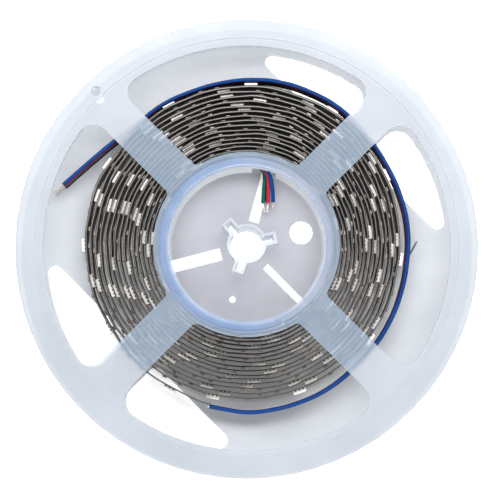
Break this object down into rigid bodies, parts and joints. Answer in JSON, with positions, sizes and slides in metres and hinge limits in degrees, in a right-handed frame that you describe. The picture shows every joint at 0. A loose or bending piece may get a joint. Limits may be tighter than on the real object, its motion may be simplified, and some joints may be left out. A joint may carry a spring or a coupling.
{
  "type": "reel of led strip light",
  "caption": "Translucent plastic reel holding a wound roll of flexible light strip, with a flat lead running round the roll and another coming out into the hub.",
  "frame": {"origin": "on the reel's axis, in the plane of the rear rim that it lies on", "axes": "+Z along the axis towards the front flange, +X to the right and +Y up in the picture"},
  "size_m": [0.178, 0.178, 0.0149],
  "materials": {
    "reel_plastic": "natural unpigmented moulded plastic, milky and slightly see-through, satin",
    "strip": "pale flexible circuit with white LED packages",
    "wire_blue": "blue wire insulation",
    "wire_red": "red wire insulation",
    "wire_green": "green wire insulation",
    "wire_black": "black wire insulation",
    "tinned_copper": "tinned bare strands",
    "thread": "thin dark thread"
  },
  "bodies": {
    "root": {"front_flange": "reel_plastic", "rear_flange": "reel_plastic", "led_strip": "strip", "outer_wire_blue": "wire_blue", "outer_wire_red": "wire_red", "outer_wire_green": "wire_green", "outer_wire_black": "wire_black", "inner_wire_blue": "wire_blue", "inner_wire_red": "wire_red", "inner_wire_green": "wire_green", "inner_wire_black": "wire_black", "outer_core_blue": "tinned_copper", "outer_core_red": "tinned_copper", "outer_core_green": "tinned_copper", "outer_core_black": "tinned_copper", "inner_core_blue": "tinned_copper", "inner_core_red": "tinned_copper", "inner_core_green": "tinned_copper", "inner_core_black": "tinned_copper", "thread_end": "thread"}
  },
  "joints": []
}
